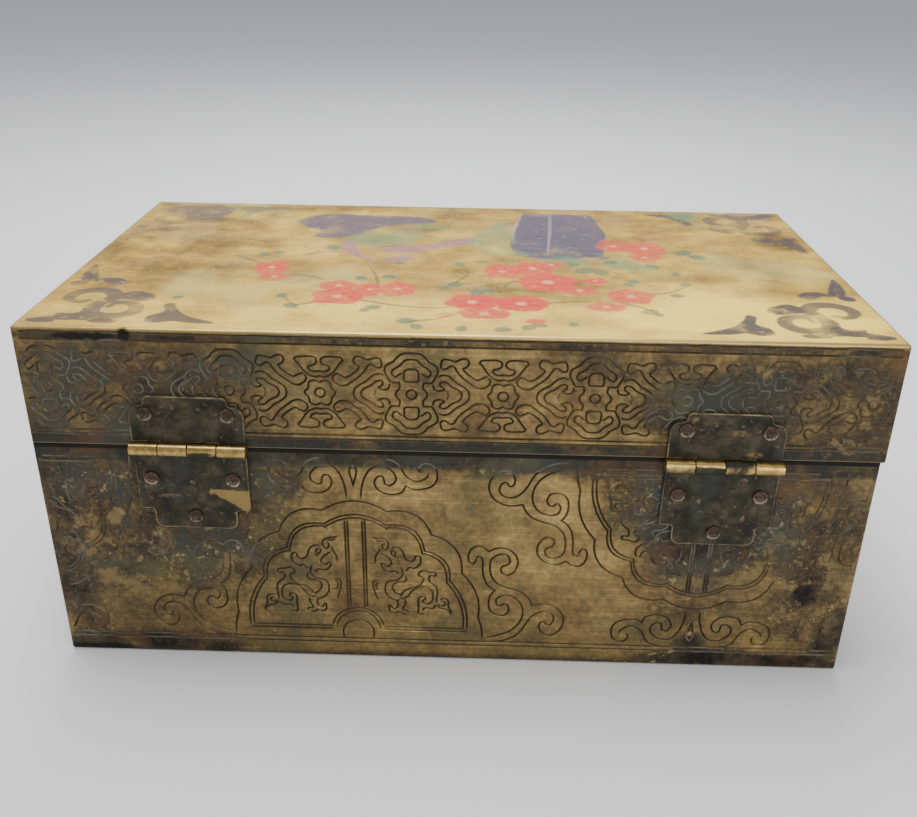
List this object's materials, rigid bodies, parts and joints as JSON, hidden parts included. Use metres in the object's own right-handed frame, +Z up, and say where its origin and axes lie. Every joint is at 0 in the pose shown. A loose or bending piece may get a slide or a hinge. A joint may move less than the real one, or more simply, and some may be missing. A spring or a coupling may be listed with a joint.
{
  "type": "brass jewelry box",
  "caption": "Rectangular sheet-brass jewelry box with engraved sides, a flat painted lid and riveted butt hinges.",
  "frame": {"origin": "centre of the case's flat underside", "axes": "+X along the length, +Z up, the hinges on the -Y side and the opening edge on the +Y side"},
  "size_m": [0.2352, 0.136, 0.1064],
  "materials": {
    "case_brass": "engraved, worn, patchy dark patina",
    "lid_brass": "engraved, dull patina, painted top",
    "tarnished_leaf": "dark olive tarnish",
    "pin_brass": "bright, rubbed",
    "rivet_copper": "coppery, flattened heads"
  },
  "bodies": {
    "case_body": {"case": "case_brass", "left_hinge_lower_leaf": "tarnished_leaf", "left_hinge_pin": "pin_brass", "left_hinge_lower_rivet_1": "rivet_copper", "left_hinge_lower_rivet_2": "rivet_copper", "left_hinge_lower_rivet_3": "rivet_copper", "right_hinge_lower_leaf": "tarnished_leaf", "right_hinge_pin": "pin_brass", "right_hinge_lower_rivet_1": "rivet_copper", "right_hinge_lower_rivet_2": "rivet_copper", "right_hinge_lower_rivet_3": "rivet_copper"},
    "lid_body": {"lid": "lid_brass", "left_hinge_upper_leaf": "tarnished_leaf", "left_hinge_upper_rivet_1": "rivet_copper", "left_hinge_upper_rivet_2": "rivet_copper", "right_hinge_upper_leaf": "tarnished_leaf", "right_hinge_upper_rivet_1": "rivet_copper", "right_hinge_upper_rivet_2": "rivet_copper"}
  },
  "joints": [
    {"name": "lid_hinge", "type": "hinge", "parent": "case_body", "child": "lid_body", "pos_m": [0.0006, -0.06815, 0.0711], "axis": [1, 0, -0.0087], "range_deg": [0, 180]}
  ]
}
